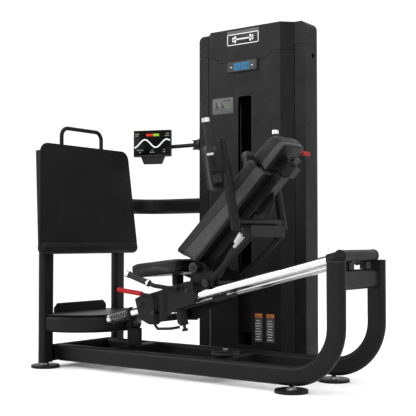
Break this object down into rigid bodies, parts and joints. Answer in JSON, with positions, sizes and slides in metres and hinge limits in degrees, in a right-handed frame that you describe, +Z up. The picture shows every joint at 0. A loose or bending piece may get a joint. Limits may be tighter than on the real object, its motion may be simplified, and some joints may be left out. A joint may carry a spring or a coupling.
{
  "type": "leg press machine",
  "caption": "Seated leg press with a reclining seat carriage on inclined rails, a fixed footplate, a weight stack tower and a swivelling console",
  "frame": {"origin": "centre of the bounding box on the floor", "axes": "X from the footplate to the tall uprights, Y across the machine towards the weight tower, Z up"},
  "size_m": [2.03, 1.144, 2.06],
  "materials": {
    "frame_steel": "satin",
    "shroud": "satin",
    "footplate_black": "matte",
    "tray_steel": "matte",
    "chrome": "polished",
    "spring_steel": "polished",
    "plate_steel": "matte",
    "bright_steel": "brushed",
    "black_rubber": "matte",
    "black_plastic": "matte",
    "gloss_black": "gloss",
    "gray_label": "matte",
    "red_grip": "matte",
    "vinyl": "satin",
    "silver_paint": "satin"
  },
  "bodies": {
    "frame": {"base_tube_near": "frame_steel", "base_tube_far": "frame_steel", "cross_tubes": "frame_steel", "upright_caps": "black_plastic", "footplate_posts": "frame_steel", "levelling_feet": "frame_steel", "step_band": "frame_steel", "step_tray": "tray_steel", "upper_brace": "frame_steel", "guide_rails": "chrome", "stop_bar": "frame_steel", "buffer_springs": "spring_steel", "rubber_buffers": "black_rubber", "buffer_post": "frame_steel", "footplate": "footplate_black", "footplate_handle": "frame_steel", "front_shroud": "shroud", "rear_shroud": "shroud", "top_cap": "shroud", "display_panel": "gloss_black", "info_plates": "gray_label", "tower_frame": "frame_steel", "guide_rods": "chrome", "resting_plates": "plate_steel", "pulley_mounts": "bright_steel", "console_bracket": "black_plastic"},
    "carriage": {"carriage_sides": "frame_steel", "pivot_plates": "frame_steel", "pivot_pins": "bright_steel", "rail_bushings": "black_plastic", "carriage_members": "frame_steel", "seat_pad": "vinyl", "seat_bracket": "frame_steel", "seat_grip_tubes": "frame_steel", "seat_grip_sleeves": "black_rubber", "seat_grip_rings": "chrome"},
    "stack": {"lifted_plates": "plate_steel", "selector_stem": "bright_steel"},
    "selector": {"selector_pin": "gloss_black"},
    "base_wheel": {"base_pulley": "black_plastic"},
    "top_wheel": {"top_pulley": "black_plastic"},
    "backrest": {"back_pad": "vinyl", "back_beam": "frame_steel", "back_brackets": "frame_steel"},
    "headrest": {"head_pad": "vinyl", "head_slider": "frame_steel"},
    "release": {"release_lever": "bright_steel", "release_grip": "red_grip"},
    "shoulders": {"support_arms": "frame_steel", "shoulder_frame": "frame_steel", "hand_grip_sleeves": "black_rubber", "hand_grip_rings": "chrome", "shoulder_pads": "vinyl"},
    "strut_lower": {"strut_cylinder": "gloss_black"},
    "strut_upper": {"strut_rod": "silver_paint"},
    "lever": {"start_lever": "frame_steel", "start_lever_grip": "red_grip"},
    "pin": {"lock_pin": "bright_steel"},
    "arm": {"console_arm": "frame_steel"},
    "screen": {"console_screen": "black_plastic"}
  },
  "joints": [
    {"name": "carriage_slide", "type": "slide", "parent": "frame", "child": "carriage", "axis": [0.9703, 0, 0.2419], "range_m": [0, 0.5]},
    {"name": "stack_lift", "type": "slide", "parent": "frame", "child": "stack", "axis": [0, 0, 1], "range_m": [0, 0.5]},
    {"name": "selector_pin_pull", "type": "slide", "parent": "stack", "child": "selector", "axis": [0, -1, 0], "range_m": [0, 0.06]},
    {"name": "base_pulley_spin", "type": "hinge", "parent": "frame", "child": "base_wheel", "pos_m": [0.21, -0.212, 0.148], "axis": [0, 0, 1], "range_deg": [0, 366]},
    {"name": "top_pulley_spin", "type": "hinge", "parent": "frame", "child": "top_wheel", "pos_m": [0.029, 0.465, 1.765], "axis": [0, 1, 0], "range_deg": [0, 524]},
    {"name": "backrest_recline", "type": "hinge", "parent": "carriage", "child": "backrest", "pos_m": [0.055, -0.139, 0.604], "axis": [0, -1, 0], "range_deg": [-12, 10]},
    {"name": "shoulder_swing", "type": "hinge", "parent": "carriage", "child": "shoulders", "pos_m": [0.15, -0.139, 0.523], "axis": [0, -1, 0], "range_deg": [-12, 10]},
    {"name": "strut_swing", "type": "hinge", "parent": "carriage", "child": "strut_lower", "pos_m": [0.15, -0.205, 0.556], "axis": [0, -1, 0], "range_deg": [-12.88, 10.75]},
    {"name": "strut_extend", "type": "slide", "parent": "strut_lower", "child": "strut_upper", "axis": [0.5932, 0, 0.8051], "range_m": [-0.022, 0.0184]},
    {"name": "headrest_slide", "type": "slide", "parent": "backrest", "child": "headrest", "axis": [0.6947, 0, 0.7193], "range_m": [0, 0.06]},
    {"name": "release_pull", "type": "hinge", "parent": "headrest", "child": "release", "pos_m": [0.602, -0.139, 1.172], "axis": [0, -1, 0], "range_deg": [0, 12], "stiffness_Nm_per_rad": 2, "springref_deg": -20.05},
    {"name": "start_lever_pull", "type": "hinge", "parent": "carriage", "child": "lever", "pos_m": [-0.187, -0.342, 0.35], "axis": [0, 1, 0], "range_deg": [0, 8], "stiffness_Nm_per_rad": 20, "springref_deg": -11.46},
    {"name": "lock_pin_pull", "type": "slide", "parent": "carriage", "child": "pin", "axis": [0.2419, 0, -0.9703], "range_m": [0, 0.0245]},
    {"name": "console_swivel", "type": "hinge", "parent": "frame", "child": "arm", "pos_m": [-0.47, 0.42, 1.372], "axis": [0, 0, 1], "range_deg": [-20, 40]},
    {"name": "screen_tilt", "type": "hinge", "parent": "arm", "child": "screen", "pos_m": [-0.786, 0.385, 1.372], "axis": [0.9397, 0.342, 0], "range_deg": [-12, 15]}
  ],
  "couplings": [
    {"joint": "stack_lift", "follows": "carriage_slide", "ratio": 1},
    {"joint": "base_pulley_spin", "follows": "carriage_slide", "rad_per_m": 12.658},
    {"joint": "top_pulley_spin", "follows": "carriage_slide", "rad_per_m": 18.182},
    {"joint": "shoulder_swing", "follows": "backrest_recline", "ratio": 1},
    {"joint": "strut_swing", "follows": "backrest_recline", "ratio": 1.065},
    {"joint": "strut_extend", "follows": "backrest_recline", "m_per_rad": 0.104},
    {"joint": "lock_pin_pull", "follows": "start_lever_pull", "m_per_rad": 0.172}
  ]
}
